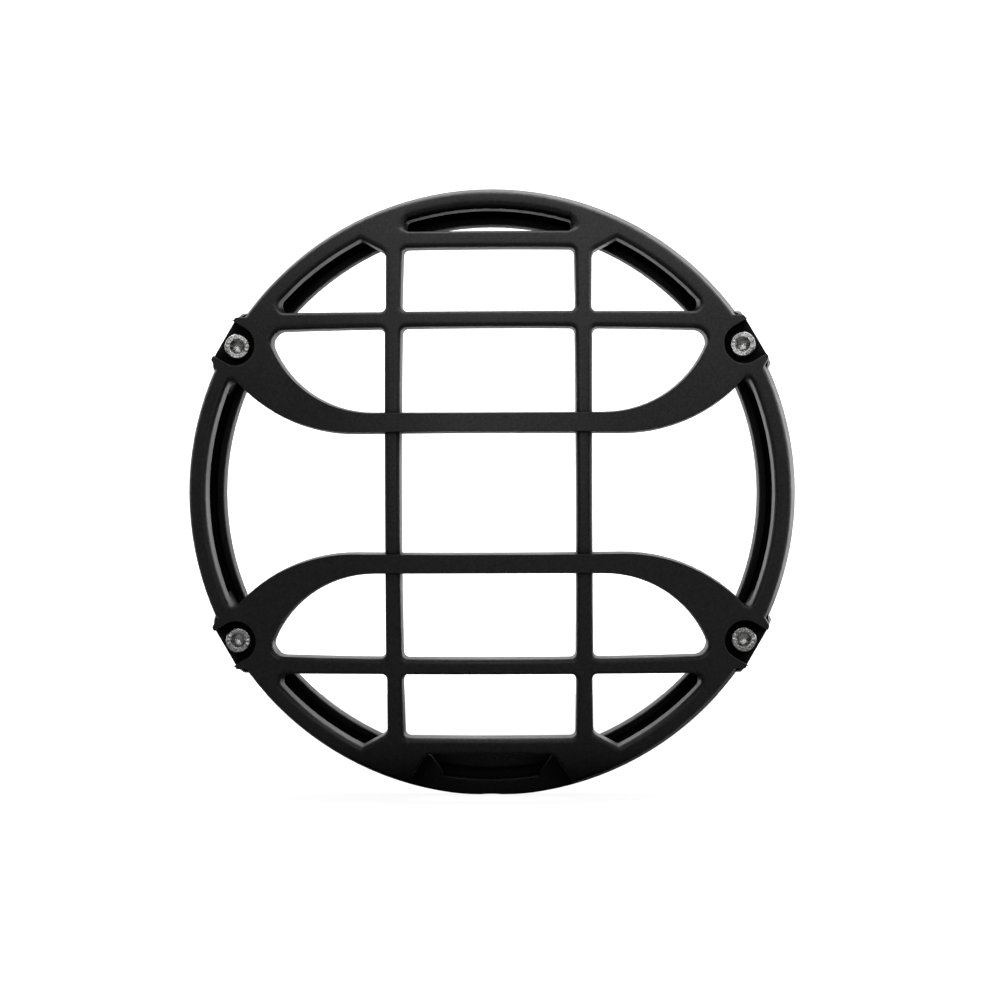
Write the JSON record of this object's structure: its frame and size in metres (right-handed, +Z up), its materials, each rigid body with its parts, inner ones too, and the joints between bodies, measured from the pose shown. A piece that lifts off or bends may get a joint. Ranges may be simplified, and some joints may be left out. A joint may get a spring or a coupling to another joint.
{
  "type": "motorcycle headlight guard",
  "caption": "Round stone guard with a domed grille of bars and two sweeping arms, screwed to a ring that fits round a headlamp.",
  "frame": {"origin": "centre of the lamp opening, in the rear face of the ring", "axes": "-Y is the front, towards the road ahead, +Z is up and +Y runs back into the lamp"},
  "size_m": [0.2068, 0.0424, 0.2059],
  "materials": {
    "grille": "satin",
    "ring": "satin",
    "screws": "bright",
    "inserts": "bright"
  },
  "bodies": {
    "root": {"front_grille": "grille", "rear_ring": "ring", "mounting_screws": "screws", "threaded_inserts": "inserts"}
  },
  "joints": []
}
